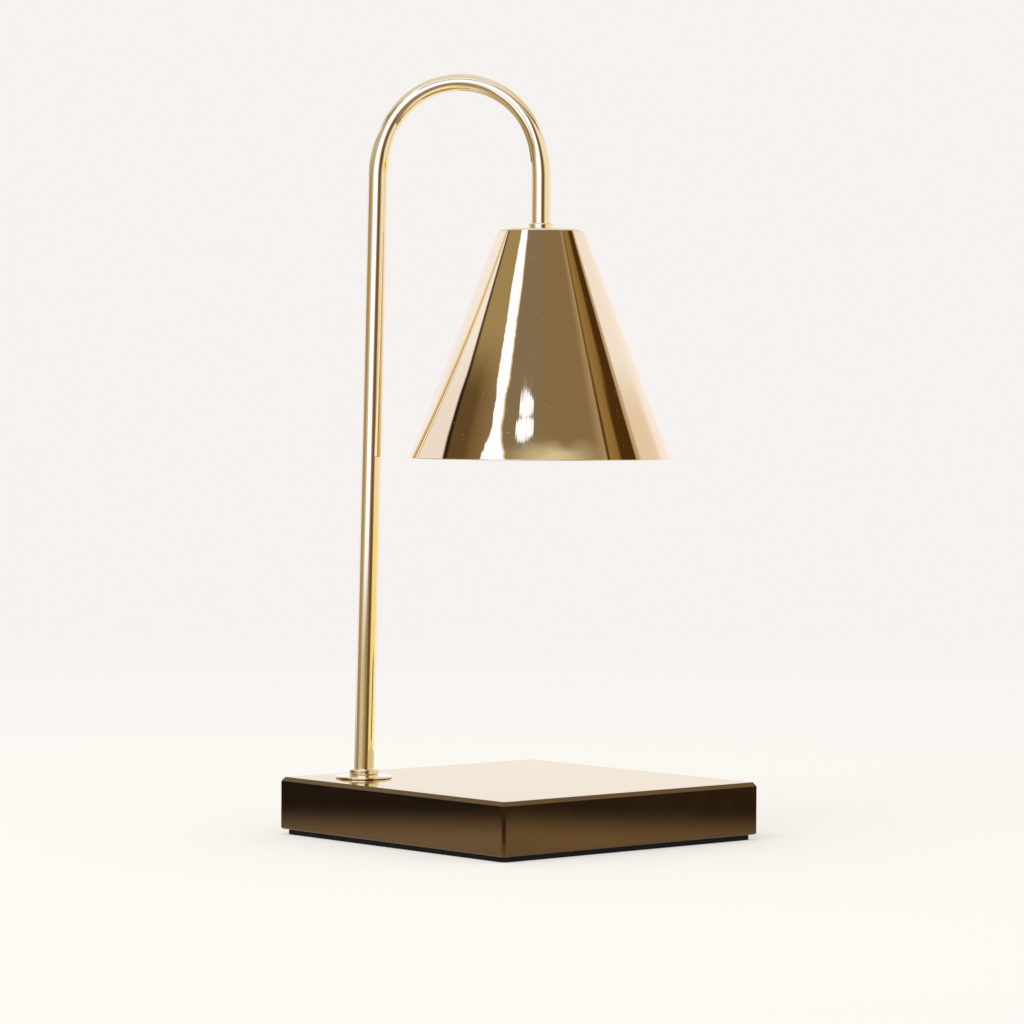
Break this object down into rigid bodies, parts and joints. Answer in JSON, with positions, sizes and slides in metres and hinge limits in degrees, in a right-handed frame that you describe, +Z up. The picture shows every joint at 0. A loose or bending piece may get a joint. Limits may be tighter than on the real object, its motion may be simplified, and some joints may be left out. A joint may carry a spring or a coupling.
{
  "type": "candle warmer lamp",
  "caption": "Candle warmer lamp: square stone base, bent tube on one corner, cone shade hung over the candle's place, with a twist-lock reflector bulb inside.",
  "frame": {"origin": "centre of the base on the table", "axes": "+Z up; +X along the base's diagonal from the pole to the shade; +Y to the back, away from the viewer"},
  "size_m": [0.2102, 0.2102, 0.3366],
  "materials": {
    "stone": "polished near-black brown stone",
    "pad": "matt black foam rubber",
    "gold_plate": "mirror polished light gold plating",
    "zinc_steel": "bright zinc plated steel",
    "black_plastic": "moulded black plastic",
    "flex_sheath": "black flex sheath",
    "tinned_brass": "tinned brass",
    "contact_brass": "spring brass",
    "holder_ceramic": "unglazed white steatite",
    "live_sleeve": "brown glass-fibre sleeving",
    "neutral_sleeve": "blue glass-fibre sleeving",
    "earth_sleeve": "green and yellow glass-fibre sleeving",
    "bulb_ceramic": "white glazed lamp base",
    "pin_metal": "nickel plated pins",
    "bulb_reflector_glass": "aluminised glass reflector",
    "quartz": "clear quartz",
    "lens_glass": "clear front glass"
  },
  "bodies": {
    "lamp": {"base_slab": "stone", "base_pad": "pad", "cord_bushing": "black_plastic", "foot_flange": "gold_plate", "foot_ferrule": "gold_plate", "foot_washer": "zinc_steel", "foot_lock_washer": "zinc_steel", "foot_nut": "zinc_steel", "pole_tube": "gold_plate", "inner_flex": "flex_sheath", "shade_ferrule": "gold_plate", "shade_cone": "gold_plate", "shade_washer": "zinc_steel", "shade_lock_washer": "zinc_steel", "shade_nut": "zinc_steel", "earth_tag": "tinned_brass", "holder_bracket": "zinc_steel", "holder_cap": "holder_ceramic", "holder_body": "holder_ceramic", "holder_contacts": "contact_brass", "holder_screws": "zinc_steel", "live_lead": "live_sleeve", "neutral_lead": "neutral_sleeve", "earth_lead": "earth_sleeve"},
    "bulb": {"bulb_base": "bulb_ceramic", "bulb_pins": "pin_metal", "bulb_reflector": "bulb_reflector_glass", "bulb_burner": "quartz", "bulb_lens": "lens_glass"}
  },
  "joints": [
    {"name": "bulb_twist", "type": "hinge", "parent": "lamp", "child": "bulb", "pos_m": [0.00829, 0, 0.2238], "axis": [0, 0, -1], "range_deg": [0, 45]}
  ]
}
